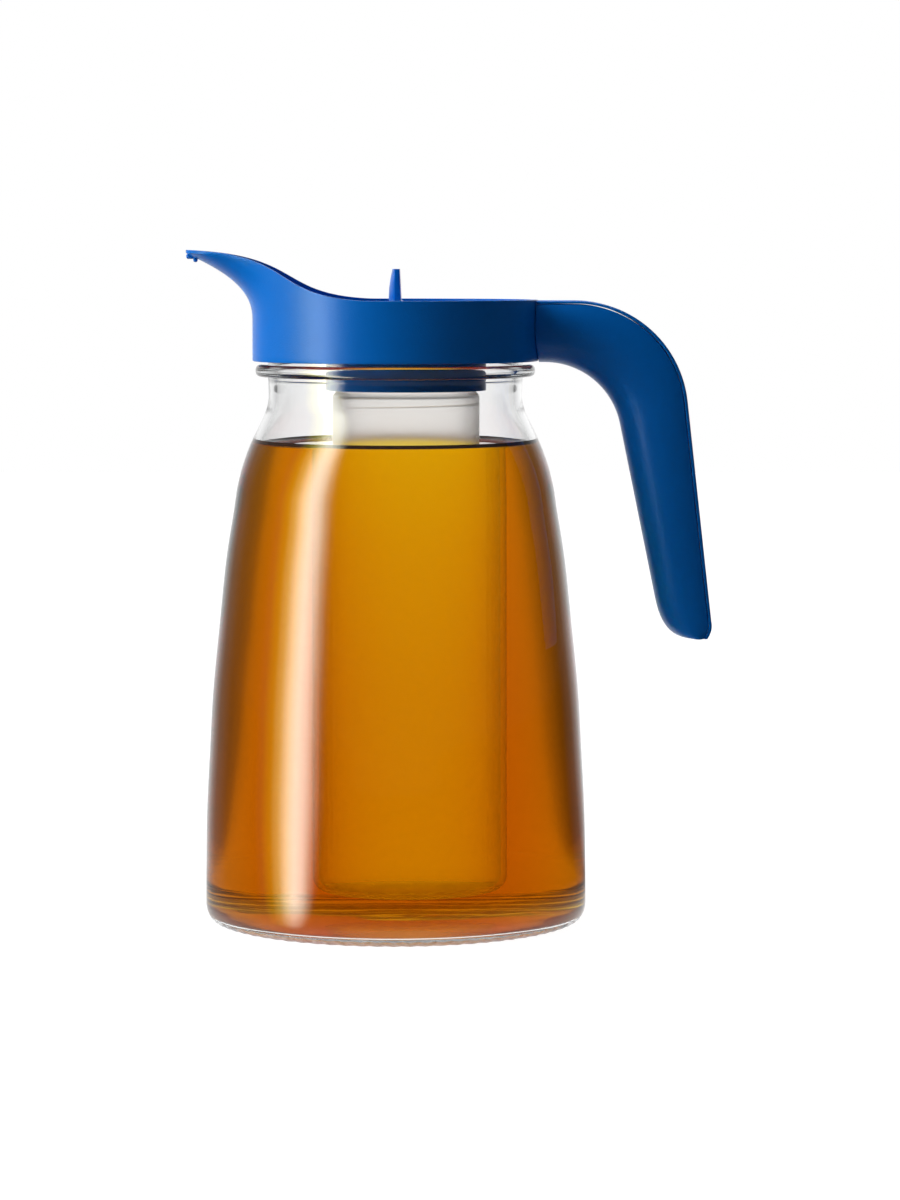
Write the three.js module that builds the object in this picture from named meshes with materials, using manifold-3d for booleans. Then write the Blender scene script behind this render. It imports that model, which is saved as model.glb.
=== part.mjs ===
// A carafe: a glass jug under a blue lid with a pouring spout, a hinged flap and a handle.
// A frosted cooling tube hangs from the lid into the drink.
// Millimetres, z up. The jug stands on z = 0 round the z axis, the spout points to -x and the handle to +x.

import * as THREE from "three";
import { mergeVertices } from "three/addons/utils/BufferGeometryUtils.js";
import Module from "manifold-3d";

const wasm = await Module();
wasm.setup();

// Clearances and cuts
const seatGap = 0.3; // left between pieces that touch
const cutOverrun = 2; // how far a cut runs past the face it opens

// Steps round a full circle
const roundSteps = 60;
const smallSteps = 16;

// Glass jug
const jugHeight = 204;
const bodyRadius = 65.6;
const glassWall = 2.8;
const bearingRadius = 60;
const bearingWidth = 3.4;
const baseRecess = 0.4;
const baseCornerHeight = 8;
const floorThickness = 2.7; // of the base over its recess
const floorCornerRadius = 3.6;
const neckRadius = 43.7;
const neckDrop = 23; // from the rim down to the foot of the neck
const beadDrop = 14.6; // from the rim down to the middle of the bead
const beadHalfHeight = 2.1;
const beadReach = 4.2;
const rimRadius = 1.2;
// The wall from base corner to neck: height shares, then shares of the way from neck to body radius
const bodyShares = [
  [0, 1],
  [0.162, 0.982],
  [0.289, 0.931],
  [0.416, 0.872],
  [0.543, 0.771],
  [0.671, 0.665],
  [0.766, 0.546],
  [0.83, 0.463],
  [0.893, 0.307],
  [0.957, 0.106],
  [1, 0],
];
const wallSteps = 14;

// Lugs that lock the lid on the glass
const lugCount = 4;
const lugAngle = 38;
const lugReach = 2.3;
const glassLugDrop = 3.4; // from the rim down to the top of the glass lugs
const glassLugHeight = 2.4;
const lidLugHeight = 2.6;
const lugPlay = 0.5; // up and down, and between a lug's tip and the wall it faces

// Lid gasket
const gasketThickness = 1.7;
const gasketOverhang = 0.6; // past the outside of the glass finish
const gasketLipDepth = 3.5;
const gasketLipWall = 1.6;

// Lid collar
const lidWall = 2.4;
const skirtDepth = 13.7; // from the deck's underside down to the lid's lower edge
const rimRise = 5; // from the deck's top up to the lid's upper edge
const ledgeHeight = 1.8;
const ledgeGap = 0.4;

// Spout
const spoutFootRise = 0.7; // from the deck's underside up to where the spout starts to flare
const spoutTipRise = 22.2; // from there up to the foot of the blunt tip
const spoutReach = 22.7;
const spoutPower = 2.3;
const spoutFloor = 1.5;
const spoutWidthAngle = 21; // of the flare at its foot
const spoutTipAngle = 17; // of the flare at its tip
const spoutSteps = 9;
// The upper edge, from the blunt tip down to the level rim, as one Bezier curve
const tipTopRise = 17; // the tip's top above the level rim
const tipShoulderRise = 15.5;
const tipShoulderReach = 31.5;
const saddleReach = 42.7;
const saddleRise = 1.3;
const saddleEndReach = 8.6;
const edgeSteps = 12;
const dripRibs = [
  { inset: 3.1, length: 1.4, drop: 1.6 },
  { inset: 5.9, length: 1.3, drop: 3.2 },
];
const dripRibWidth = 4;

// Lid deck with the tube socket, the pouring opening and the hinge ears
const deckThickness = 2.2;
const socketDepth = 23.6;
const socketWall = 2;
const keeperWall = 1.3; // the ring that holds the gasket from inside
const keeperDepth = 3;
const openingRim = 1.1; // deck left between the opening and the keeper ring
const openingSocketRim = 1.4; // deck left between the opening and the socket
const openingHalfWidth = 20;
const earThickness = 3;

// Flap
const hingeReach = 1; // hinge axis, past the middle towards the handle
const barrelRadius = 2.4;
const barrelHalfLength = 11;
const pinRadius = 1;
const flapThickness = 1.8;
const flapGap = 0.7; // between the flap's edge and the collar
const sealThickness = 1.2;
const sealWidth = 2.4;
const tabHalfWidth = 10.5;
const tabHeight = 12.8; // above the hinge axis
const tabFootThickness = 2.2;
const tabTopThickness = 1.6;
const tabFootBulge = 2.1;
const tabTopBulge = 0.8;
const tabHollowShare = 0.6; // of the bulge, scooped out of the tab's back
const tabSteps = 8;
const tabLevels = 4;

// Cooling tube
const tubeOffset = 3.6; // from the jug's axis towards the handle
const tubeRadius = 25.2;
const tubeWall = 1.6;
const tubeFloorGap = 7.9; // from the glass floor up to the tube's foot
const tubeFootRadius = 6;
const tubeShoulderWidth = 1.5; // from the tube's wall in to its neck
const tubeShoulderHeight = 1.2;
const tubeLugCount = 3;
const tubeLugAngle = 40;
const tubeLugHeight = 2.4;
const tubeLugDrop = 5; // from the tube's mouth down to the top of its lugs
const socketLugHeight = 2.6;
const tubeSealThickness = 2.4;

// Handle
const handleHalfWidth = 12.2;
const handleEndHalfWidth = 10.8;
const handleWall = 2.4;
const handleTopDrop = 0.2; // the handle's top below the lid's rim
const handleUnderDrop = 0.4; // the handle's underside below the lid's lower edge
const handleLength = 115.6; // from the handle's top down to its end
const outerArchReach = 61.4; // from the jug's axis to where the arch begins
const outerArchRadius = 38.5;
const outerLean = 6.44;
const innerArchReach = 51.2;
const innerArchRadius = 26.3;
const innerLean = 11.6;
const endRound = 13.3; // height of the round at the end's inner corner
const endFlat = 6.2; // length of the flat at the very end
const endChamferHeight = 5.9;
const endChamferDepth = 2;
const rootDepth = 9; // how far the grip's form runs into the band before the saddle is cut
const rootWall = 3.4;
const sectionFrontShare = 0.62; // of the grip's depth, round towards the fingers
const archSteps = 9;
const endSteps = 5;
const sectionSteps = 12;
const coverThickness = 1.1;
const coverCornerRadius = 0.7;
const coverPlugDepth = 2;
const tongueHalfWidth = 7;
const tongueHeight = 6;
const tongueDrop = 3; // from the deck's underside down to the tongue's top

// Heights, from the table up
const beadZ = jugHeight - beadDrop;
const neckZ = jugHeight - neckDrop;
const glassLugTopZ = jugHeight - glassLugDrop;
const glassLugZ = glassLugTopZ - glassLugHeight;
const lidLugTopZ = glassLugZ - lugPlay;
const lidLugZ = lidLugTopZ - lidLugHeight;
const gasketZ = jugHeight + seatGap;
const gasketTopZ = gasketZ + gasketThickness;
const deckZ = gasketTopZ + seatGap;
const deckTopZ = deckZ + deckThickness;
const lidZ = deckZ - skirtDepth;
const lidTopZ = deckTopZ + rimRise;
const socketZ = deckZ - socketDepth;
const hingeZ = deckTopZ + seatGap + barrelRadius;
const sealZ = deckTopZ + seatGap;
const flapZ = sealZ + sealThickness + seatGap;
const floorHeight = baseRecess + floorThickness;
const tubeZ = floorHeight + tubeFloorGap;
const tubeSealZ = deckZ - seatGap - tubeSealThickness;
const tubeTopZ = tubeSealZ - seatGap;
const tubeLugTopZ = tubeTopZ - tubeLugDrop;
const tubeLugZ = tubeLugTopZ - tubeLugHeight;
const socketLugTopZ = tubeLugZ - lugPlay;
const tubeShoulderZ = socketZ - seatGap;
const spoutFootZ = deckZ + spoutFootRise;
const handleTopZ = lidTopZ - handleTopDrop;
const handleUnderZ = lidZ - handleUnderDrop;
const handleEndZ = handleTopZ - handleLength;
const tongueTopZ = deckZ - tongueDrop;

// Radii
const neckBore = neckRadius - glassWall;
const lidBore = neckRadius + lugReach + lugPlay;
const lidRadius = lidBore + lidWall;
const lidLugBore = neckRadius + lugPlay;
const gasketRadius = neckRadius + gasketOverhang;
const gasketLipRadius = neckBore - seatGap;
const gasketLipBore = gasketLipRadius - gasketLipWall;
const keeperRadius = gasketLipBore - seatGap;
const keeperBore = keeperRadius - keeperWall;
const openingRadius = keeperBore - openingRim;
const socketBore = tubeRadius + seatGap;
const socketRadius = socketBore + socketWall;
const openingSocketRadius = socketRadius + openingSocketRim;
const flapRadius = lidBore - flapGap;
const pinBore = pinRadius + seatGap;
const tubeLugRadius = socketBore - seatGap;
const tubeBore = tubeRadius - tubeWall;
const tubeNeckRadius = tubeRadius - tubeShoulderWidth;
const tubeNeckBore = tubeNeckRadius - tubeWall;

const radians = THREE.MathUtils.degToRad;

// A closed geometry as a solid that can be joined and cut
function solid(geometry) {
  const bare = new THREE.BufferGeometry();
  bare.setAttribute("position", geometry.getAttribute("position"));
  if (geometry.index) bare.setIndex(geometry.index);
  const merged = mergeVertices(bare);
  return new wasm.Manifold(
    new wasm.Mesh({
      numProp: 3,
      vertProperties: merged.attributes.position.array,
      triVerts: new Uint32Array(merged.index.array),
    }),
  );
}

// A solid as a named mesh
function piece(name, shape, look) {
  const mesh = shape.getMesh();
  const geometry = new THREE.BufferGeometry();
  geometry.setAttribute("position", new THREE.BufferAttribute(mesh.vertProperties, 3));
  geometry.setIndex(new THREE.BufferAttribute(mesh.triVerts, 1));
  geometry.computeVertexNormals();
  const made = new THREE.Mesh(geometry, new THREE.MeshStandardMaterial(look));
  made.name = name;
  return made;
}

// A profile of [radius, height] points turned round the z axis, moved along x
function turned(profile, x = 0, steps = roundSteps) {
  const points = profile.map(([radius, height]) => new THREE.Vector2(radius, height));
  const geometry = new THREE.LatheGeometry(points, steps);
  geometry.rotateX(Math.PI / 2);
  geometry.translate(x, 0, 0);
  return solid(geometry);
}

// A closed ring, or a disc where the bore is zero
function ring(bore, radius, low, high, x = 0, steps = roundSteps) {
  const outline = [
    [bore, low],
    [radius, low],
    [radius, high],
    [bore, high],
  ];
  return turned(bore > 0 ? [...outline, outline[0]] : outline, x, steps);
}

function block(xLow, xHigh, yLow, yHigh, zLow, zHigh) {
  const geometry = new THREE.BoxGeometry(xHigh - xLow, yHigh - yLow, zHigh - zLow);
  geometry.translate((xLow + xHigh) / 2, (yLow + yHigh) / 2, (zLow + zHigh) / 2);
  return solid(geometry);
}

// A rod along y
function rod(radius, halfLength, x, z) {
  const geometry = new THREE.CylinderGeometry(radius, radius, 2 * halfLength, smallSteps);
  geometry.translate(x, 0, z);
  return solid(geometry);
}

// Part of a ring, centred on an angle in degrees
function sector(bore, radius, middle, angle, low, high, x = 0) {
  const from = radians(middle - angle / 2);
  const to = radians(middle + angle / 2);
  const shape = new THREE.Shape();
  shape.absarc(0, 0, radius, from, to, false);
  shape.absarc(0, 0, bore, to, from, true);
  const geometry = new THREE.ExtrudeGeometry(shape, {
    depth: high - low,
    bevelEnabled: false,
    curveSegments: smallSteps / 2,
  });
  geometry.translate(x, 0, low);
  return solid(geometry);
}

// Equal lugs round an axis, the first one at the given angle
function lugs(count, bore, radius, first, angle, low, high, x = 0) {
  let all = null;
  for (let i = 0; i < count; i++) {
    const lug = sector(bore, radius, first + (i * 360) / count, angle, low, high, x);
    all = all ? all.add(lug) : lug;
  }
  return all;
}

// Rings with as many points each, skinned one to the next and closed at both ends
function lofted(rings) {
  const count = rings[0].length;
  const positions = rings.flat().flatMap((p) => [p.x, p.y, p.z]);
  const index = [];
  for (let i = 0; i + 1 < rings.length; i++)
    for (let j = 0; j < count; j++) {
      const a = i * count + j;
      const b = i * count + ((j + 1) % count);
      index.push(a, b, b + count, a, b + count, a + count);
    }
  for (const end of [0, rings.length - 1]) {
    const middle = new THREE.Vector3();
    rings[end].forEach((p) => middle.addScaledVector(p, 1 / count));
    const hub = positions.length / 3;
    positions.push(middle.x, middle.y, middle.z);
    for (let j = 0; j < count; j++) {
      const a = end * count + j;
      const b = end * count + ((j + 1) % count);
      index.push(...(end ? [hub, a, b] : [hub, b, a]));
    }
  }
  const geometry = new THREE.BufferGeometry();
  geometry.setAttribute("position", new THREE.Float32BufferAttribute(positions, 3));
  geometry.setIndex(index);
  return solid(geometry);
}

// A side outline of Vector2(x, z) points pushed through along y
function throughY(points, halfWidth) {
  const geometry = new THREE.ExtrudeGeometry(new THREE.Shape(points), {
    depth: 2 * halfWidth,
    bevelEnabled: false,
  });
  geometry.rotateX(Math.PI / 2);
  geometry.translate(0, halfWidth, 0);
  return solid(geometry);
}

// The outside of the jug's wall from the base corner up to the neck
function wallPoints(inset) {
  const curve = new THREE.SplineCurve(
    bodyShares.map(
      ([height, width]) =>
        new THREE.Vector2(
          neckRadius + (bodyRadius - neckRadius) * width,
          baseCornerHeight + (neckZ - baseCornerHeight) * height,
        ),
    ),
  );
  return curve.getSpacedPoints(wallSteps).map((p) => [p.x - inset, p.y]);
}

// Points on a quarter round from one point to another, by way of the corner between them
function rounded(from, corner, to, steps) {
  const curve = new THREE.QuadraticBezierCurve(
    new THREE.Vector2(...from),
    new THREE.Vector2(...corner),
    new THREE.Vector2(...to),
  );
  return curve.getPoints(steps).map((p) => [p.x, p.y]);
}

// The jug: thick base on a bearing ring, tapering wall, neck, bead and the finish inside the lid
function glassJug() {
  const outer = wallPoints(0);
  const bore = bodyRadius - glassWall;
  const inner = wallPoints(glassWall).filter(([, z]) => z > floorHeight + floorCornerRadius);
  const bearingBore = bearingRadius - bearingWidth;
  const bead = [];
  for (let i = 0; i <= smallSteps / 2; i++) {
    const turn = Math.PI * (i / (smallSteps / 2) - 1 / 2);
    bead.push([neckRadius + beadReach * Math.cos(turn), beadZ + beadHalfHeight * Math.sin(turn)]);
  }
  const body = turned([
    [0, baseRecess],
    [bearingBore - baseRecess, baseRecess],
    [bearingBore, 0],
    ...rounded([bearingRadius, 0], [bodyRadius, 0], outer[0], smallSteps / 4),
    ...outer.slice(1),
    ...bead,
    [neckRadius, jugHeight - rimRadius],
    [neckRadius - rimRadius, jugHeight],
    [neckBore + rimRadius, jugHeight],
    [neckBore, jugHeight - rimRadius],
    ...inner.reverse(),
    ...rounded(
      [bore, floorHeight + floorCornerRadius],
      [bore, floorHeight],
      [bore - floorCornerRadius, floorHeight],
      smallSteps / 4,
    ),
    [0, floorHeight],
  ]);
  const root = neckRadius - glassWall / 2;
  return body.add(
    lugs(lugCount, root, neckRadius + lugReach, 0, lugAngle, glassLugZ, glassLugTopZ),
  );
}

// The gasket: a flange on the glass rim and a lip down inside the neck
function lidGasket() {
  const lipZ = jugHeight - gasketLipDepth;
  const outline = [
    [gasketLipBore, lipZ],
    [gasketLipRadius, lipZ],
    [gasketLipRadius, gasketZ],
    [gasketRadius, gasketZ],
    [gasketRadius, gasketTopZ],
    [gasketLipBore, gasketTopZ],
  ];
  return turned([...outline, outline[0]]);
}

// How far the spout stands out at a height, as a share of its reach
function flareShare(z) {
  const share = THREE.MathUtils.clamp((z - spoutFootZ) / spoutTipRise, 0, 1);
  return share ** spoutPower;
}

// The level outline of a band with the spout's flare, facing -x
function bandRing(radius, z, flareZ) {
  const share = flareShare(flareZ);
  const spread = radians(THREE.MathUtils.lerp(spoutWidthAngle, spoutTipAngle, share));
  const ringPoints = [];
  for (let j = 0; j < roundSteps; j++) {
    // Points crowd towards the spout, where the outline turns quickly
    const even = (2 * Math.PI * j) / roundSteps;
    const angle = even + Math.sin(even) / 2;
    const away = Math.abs(angle - Math.PI);
    const r = radius + spoutReach * share * Math.exp(-((away / spread) ** 2));
    ringPoints.push(new THREE.Vector3(r * Math.cos(angle), r * Math.sin(angle), z));
  }
  return ringPoints;
}

// Level outlines one above the other, the spout's floor raised by the given amount
function bandForm(radius, low, high, raise) {
  const rings = [bandRing(radius, low, low)];
  for (let i = 0; i <= spoutSteps; i++) {
    const z = spoutFootZ + (spoutTipRise * i) / spoutSteps;
    rings.push(bandRing(radius, z + raise, z));
  }
  rings.push(bandRing(radius, high, high));
  return lofted(rings);
}

// All that lies above the lid's upper edge, which sweeps up to the spout's tip
function aboveEdge() {
  const tipX = lidRadius + spoutReach;
  const edge = new THREE.CubicBezierCurve(
    new THREE.Vector2(-tipX, lidTopZ + tipTopRise),
    new THREE.Vector2(-tipShoulderReach, lidTopZ + tipShoulderRise),
    new THREE.Vector2(-saddleReach, lidTopZ + saddleRise),
    new THREE.Vector2(-saddleEndReach, lidTopZ),
  ).getPoints(edgeSteps);
  const far = tipX + cutOverrun;
  const high = lidTopZ + tipTopRise + spoutTipRise;
  return throughY(
    [
      new THREE.Vector2(-far, lidTopZ + tipTopRise),
      ...edge,
      new THREE.Vector2(far, lidTopZ),
      new THREE.Vector2(far, high),
      new THREE.Vector2(-far, high),
    ],
    far,
  );
}

// Ribs across the underside of the spout's tip, which stop drips
function dripStops() {
  const tipX = lidRadius + spoutReach;
  const tipZ = spoutFootZ + spoutTipRise;
  let all = null;
  for (const { inset, length, drop } of dripRibs) {
    const x = inset - tipX;
    const rib = block(
      x,
      x + length,
      -dripRibWidth / 2,
      dripRibWidth / 2,
      tipZ - drop,
      tipZ,
    );
    all = all ? all.add(rib) : rib;
  }
  return all;
}

// The collar: band and spout in one wall, a ledge for the deck, lugs for the glass, a slot for the handle
function lidCollar() {
  const high = lidTopZ + tipTopRise + cutOverrun;
  const outside = bandForm(lidRadius, lidZ, high, 0).add(dripStops());
  const inside = bandForm(lidBore, lidZ - cutOverrun, high + cutOverrun, spoutFloor);
  const ledgeTopZ = deckZ - seatGap;
  const root = lidBore + lidWall / 2;
  const ledge = ring(gasketRadius + ledgeGap, root, ledgeTopZ - ledgeHeight, ledgeTopZ);
  const half = 180 / lugCount;
  const locks = lugs(lugCount, lidLugBore, root, half, lugAngle, lidLugZ, lidLugTopZ);
  const slot = block(
    lidBore - cutOverrun,
    lidRadius + cutOverrun,
    -tongueHalfWidth - seatGap,
    tongueHalfWidth + seatGap,
    tongueTopZ - tongueHeight - seatGap,
    tongueTopZ + seatGap,
  );
  return outside.subtract(inside).subtract(aboveEdge()).add(ledge).add(locks).subtract(slot);
}

// A crescent between the gasket keeper and the tube socket, grown or shrunk by a margin
function crescent(margin, low, high) {
  const width = openingHalfWidth + margin;
  return ring(0, openingRadius + margin, low, high)
    .intersect(block(-openingRadius - cutOverrun - margin, 0, -width, width, low, high))
    .subtract(
      ring(0, openingSocketRadius - margin, low - cutOverrun, high + cutOverrun, tubeOffset),
    );
}

// One hinge ear, a lug on the deck with a round head
function hingeEar(y) {
  const head = rod(barrelRadius, earThickness / 2, hingeReach, hingeZ).translate([0, y, 0]);
  const foot = block(
    hingeReach - barrelRadius,
    hingeReach + barrelRadius,
    y - earThickness / 2,
    y + earThickness / 2,
    deckTopZ - deckThickness / 2,
    hingeZ,
  );
  return head.add(foot);
}

// The deck: the lid's floor, gasket keeper, pouring opening, tube socket and hinge ears
function lidDeck() {
  const plate = ring(0, lidBore - seatGap, deckZ, deckTopZ);
  const middle = deckZ + deckThickness / 2;
  const keeper = ring(keeperBore, keeperRadius, deckZ - keeperDepth, middle);
  const socket = ring(socketBore, socketRadius, socketZ, middle, tubeOffset);
  const socketRoot = socketBore + socketWall / 2;
  const catches = lugs(
    tubeLugCount,
    tubeNeckRadius + seatGap,
    socketRoot,
    0,
    tubeLugAngle,
    socketLugTopZ - socketLugHeight,
    socketLugTopZ,
    tubeOffset,
  );
  const earY = barrelHalfLength + seatGap + earThickness / 2;
  return plate
    .subtract(crescent(0, deckZ - cutOverrun, deckTopZ + cutOverrun))
    .add(keeper)
    .add(socket)
    .add(catches)
    .add(hingeEar(earY))
    .add(hingeEar(-earY))
    .subtract(rod(pinBore, earY + earThickness, hingeReach, hingeZ));
}

function flapHingePin() {
  const halfLength = barrelHalfLength + seatGap + earThickness;
  return rod(pinRadius, halfLength, hingeReach, hingeZ);
}

// The thumb tab: curved in plan, bulging towards the spout and thinner towards its top
function thumbTab() {
  const rings = [];
  for (let i = 0; i <= tabLevels; i++) {
    const up = i / tabLevels;
    const bulge = THREE.MathUtils.lerp(tabFootBulge, tabTopBulge, up);
    const thickness = THREE.MathUtils.lerp(tabFootThickness, tabTopThickness, up);
    const frontX = hingeReach - tabFootThickness / 2;
    const z = hingeZ + tabHeight * up;
    const front = [];
    const back = [];
    for (let j = 0; j <= tabSteps; j++) {
      const across = (2 * j) / tabSteps - 1;
      const bow = bulge * (1 - across ** 2);
      const y = tabHalfWidth * across;
      front.push(new THREE.Vector3(frontX - bow, y, z));
      back.push(new THREE.Vector3(frontX + thickness - bow * tabHollowShare, y, z));
    }
    rings.push([...front.reverse(), ...back]);
  }
  return lofted(rings);
}

// The flap: a part disc in front of the ears, a barrel between them and the thumb tab above it
function pourFlap() {
  const plateEnd = hingeReach - barrelRadius - flapGap;
  const topZ = flapZ + flapThickness;
  const plate = ring(0, flapRadius, flapZ, topZ).intersect(
    block(-lidRadius, plateEnd, -lidRadius, lidRadius, flapZ - cutOverrun, topZ + cutOverrun),
  );
  const arm = block(
    plateEnd - flapThickness,
    hingeReach,
    -barrelHalfLength,
    barrelHalfLength,
    flapZ,
    topZ,
  );
  return plate
    .add(arm)
    .add(rod(barrelRadius, barrelHalfLength, hingeReach, hingeZ))
    .add(thumbTab())
    .subtract(rod(pinBore, barrelHalfLength + cutOverrun, hingeReach, hingeZ));
}

// The flap's seal: a flat silicone band round the pouring opening
function flapSeal() {
  const topZ = sealZ + sealThickness;
  return crescent(sealWidth, sealZ, topZ).subtract(
    crescent(0, sealZ - cutOverrun, topZ + cutOverrun),
  );
}

// The cooling tube: closed round foot, straight wall, narrower neck with bayonet lugs
function coolingTube() {
  const low = tubeZ + tubeWall;
  const innerFoot = tubeFootRadius - tubeWall;
  const shoulderZ = tubeShoulderZ - tubeShoulderHeight;
  const body = turned(
    [
      [0, tubeZ],
      ...rounded(
        [tubeRadius - tubeFootRadius, tubeZ],
        [tubeRadius, tubeZ],
        [tubeRadius, tubeZ + tubeFootRadius],
        smallSteps / 4,
      ),
      [tubeRadius, shoulderZ],
      [tubeNeckRadius, tubeShoulderZ],
      [tubeNeckRadius, tubeTopZ],
      [tubeNeckBore, tubeTopZ],
      [tubeNeckBore, tubeShoulderZ - tubeShoulderHeight],
      [tubeBore, shoulderZ - tubeShoulderHeight],
      ...rounded(
        [tubeBore, low + innerFoot],
        [tubeBore, low],
        [tubeBore - innerFoot, low],
        smallSteps / 4,
      ),
      [0, low],
    ],
    tubeOffset,
  );
  const root = tubeNeckRadius - tubeWall / 2;
  return body.add(
    lugs(
      tubeLugCount,
      root,
      tubeLugRadius,
      0,
      tubeLugAngle,
      tubeLugZ,
      tubeLugTopZ,
      tubeOffset,
    ),
  );
}

function tubeSeal() {
  return ring(
    tubeNeckBore,
    tubeNeckRadius,
    tubeSealZ,
    tubeSealZ + tubeSealThickness,
    tubeOffset,
  );
}

// The grip's inner and outer edges as pairs of side points, from the band to the end
function gripStations(startX, endShare) {
  const outerTurn = 90 - outerLean;
  const innerTurn = 90 - innerLean;
  const arch = (x, top, radius, turn, share) => {
    const angle = radians(turn * share);
    return new THREE.Vector2(
      x + radius * Math.sin(angle),
      top - radius * (1 - Math.cos(angle)),
    );
  };
  const stations = [
    [new THREE.Vector2(startX, handleUnderZ), new THREE.Vector2(startX, handleTopZ)],
  ];
  for (let i = 0; i <= archSteps; i++) {
    const share = i / archSteps;
    stations.push([
      arch(innerArchReach, handleUnderZ, innerArchRadius, innerTurn, share),
      arch(outerArchReach, handleTopZ, outerArchRadius, outerTurn, share),
    ]);
  }
  const [innerFoot, outerFoot] = stations.at(-1);
  const down = (foot, lean, z) =>
    new THREE.Vector2(foot.x + (foot.y - z) * Math.tan(radians(lean)), z);
  const innerCorner = down(innerFoot, innerLean, handleEndZ);
  const outerCorner = down(outerFoot, outerLean, handleEndZ);
  const outerTip = outerCorner.clone().setX(outerCorner.x - endChamferDepth);
  const innerTip = outerTip.clone().setX(outerTip.x - endFlat);
  const innerEnd = new THREE.QuadraticBezierCurve(
    down(innerFoot, innerLean, handleEndZ + endRound),
    innerCorner,
    innerTip,
  );
  const outerEnd = new THREE.QuadraticBezierCurve(
    down(outerFoot, outerLean, handleEndZ + endChamferHeight),
    new THREE.Vector2(outerTip.x + endChamferDepth, handleEndZ + endChamferHeight / 2),
    outerTip,
  );
  for (let i = 0; i <= endSteps * endShare; i++)
    stations.push([innerEnd.getPoint(i / endSteps), outerEnd.getPoint(i / endSteps)]);
  return stations;
}

// Half the grip's width at a height: full over the arch, less towards the end
function gripHalfWidth(z) {
  const share = THREE.MathUtils.clamp((handleUnderZ - z) / (handleUnderZ - handleEndZ), 0, 1);
  return THREE.MathUtils.lerp(handleHalfWidth, handleEndHalfWidth, share);
}

// The D-shaped front of the grip, from the finger side back to the given depth behind the outer edge
function gripFront(stations, inset, backInset) {
  const rings = stations.map(([inner, outer]) => {
    const depth = inner.distanceTo(outer);
    const along = outer.clone().sub(inner).divideScalar(depth);
    const half = gripHalfWidth(inner.y) - inset;
    const front = depth * sectionFrontShare;
    const place = (u, v) =>
      new THREE.Vector3(inner.x + along.x * u, v, inner.y + along.y * u);
    const points = [place(depth - backInset, -half)];
    for (let j = 0; j <= sectionSteps; j++) {
      const turn = Math.PI * (j / sectionSteps - 1 / 2);
      const u = front - (front - inset) * Math.cos(turn);
      points.push(place(u, half * Math.sin(turn)));
    }
    points.push(place(depth - backInset, half));
    return points;
  });
  return lofted(rings);
}

// A band of the grip's section along its outer edge, between two depths from that edge
function gripBack(stations, inset, from, to, corner) {
  const rings = stations.map(([inner, outer]) => {
    const depth = inner.distanceTo(outer);
    const along = outer.clone().sub(inner).divideScalar(depth);
    const half = gripHalfWidth(inner.y) - inset;
    const place = (u, v) =>
      new THREE.Vector3(outer.x - along.x * u, v, outer.y - along.y * u);
    return [
      place(to + corner, -half),
      place(from, -half),
      place(from, half),
      place(to + corner, half),
      place(to, half - corner),
      place(to, corner - half),
    ];
  });
  return lofted(rings);
}

// What the saddle keeps clear of: the band and a gap round it
function bandEnvelope() {
  return ring(0, lidRadius + seatGap, lidZ - handleHalfWidth, lidTopZ + handleHalfWidth);
}

// The handle's hollow front, open at its back, with a tongue keyed through the band
function handleShell() {
  const form = gripFront(
    gripStations(lidRadius - rootDepth, 1),
    0,
    coverThickness + seatGap,
  );
  const hollow = gripFront(
    gripStations(lidRadius + rootWall, 0),
    handleWall,
    -cutOverrun,
  );
  const tongue = block(
    lidBore + seatGap,
    lidRadius + rootWall,
    -tongueHalfWidth,
    tongueHalfWidth,
    tongueTopZ - tongueHeight,
    tongueTopZ,
  );
  return form.subtract(bandEnvelope()).subtract(hollow).add(tongue);
}

// The handle's back cover: a strip along the outer edge with a plug into the hollow
function handleBackCover() {
  const strip = gripBack(
    gripStations(lidRadius - rootDepth, 1),
    0,
    coverThickness,
    0,
    coverCornerRadius,
  );
  const plugInset = handleWall + seatGap;
  const plug = gripBack(
    gripStations(lidRadius + rootWall + seatGap, 0).slice(0, -1),
    plugInset,
    coverThickness + coverPlugDepth,
    coverThickness / 2,
    0,
  );
  return strip.subtract(bandEnvelope()).add(plug);
}

// Looks
const bluePlastic = { color: 0x0a55b8, roughness: 0.45, metalness: 0 };
const frostedPlastic = { color: 0xd9d7d2, roughness: 0.6, metalness: 0 };
const silicone = { color: 0xe9ecee, roughness: 0.7, metalness: 0 };
const steel = { color: 0xc8cacc, roughness: 0.3, metalness: 1 };
const clearGlass = {
  color: 0xf1f6f4,
  roughness: 0.03,
  metalness: 0,
  transparent: true,
  opacity: 0.3,
};

const jug = new THREE.Group();
jug.add(piece("glass_jug", glassJug(), clearGlass));

const lid = new THREE.Group();
lid.add(piece("lid_gasket", lidGasket(), silicone));
lid.add(piece("lid_collar", lidCollar(), bluePlastic));
lid.add(piece("lid_deck", lidDeck(), bluePlastic));
lid.add(piece("handle_shell", handleShell(), bluePlastic));
lid.add(piece("handle_back_cover", handleBackCover(), bluePlastic));
lid.add(piece("flap_hinge_pin", flapHingePin(), steel));
lid.add(piece("tube_seal", tubeSeal(), silicone));

const flap = new THREE.Group();
flap.add(piece("pour_flap", pourFlap(), bluePlastic));
flap.add(piece("flap_seal", flapSeal(), silicone));

const tube = new THREE.Group();
tube.add(piece("cooling_tube", coolingTube(), frostedPlastic));

const carafe = new THREE.Group();
carafe.add(jug, lid, flap, tube);

export default carafe;
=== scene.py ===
import math

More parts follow.
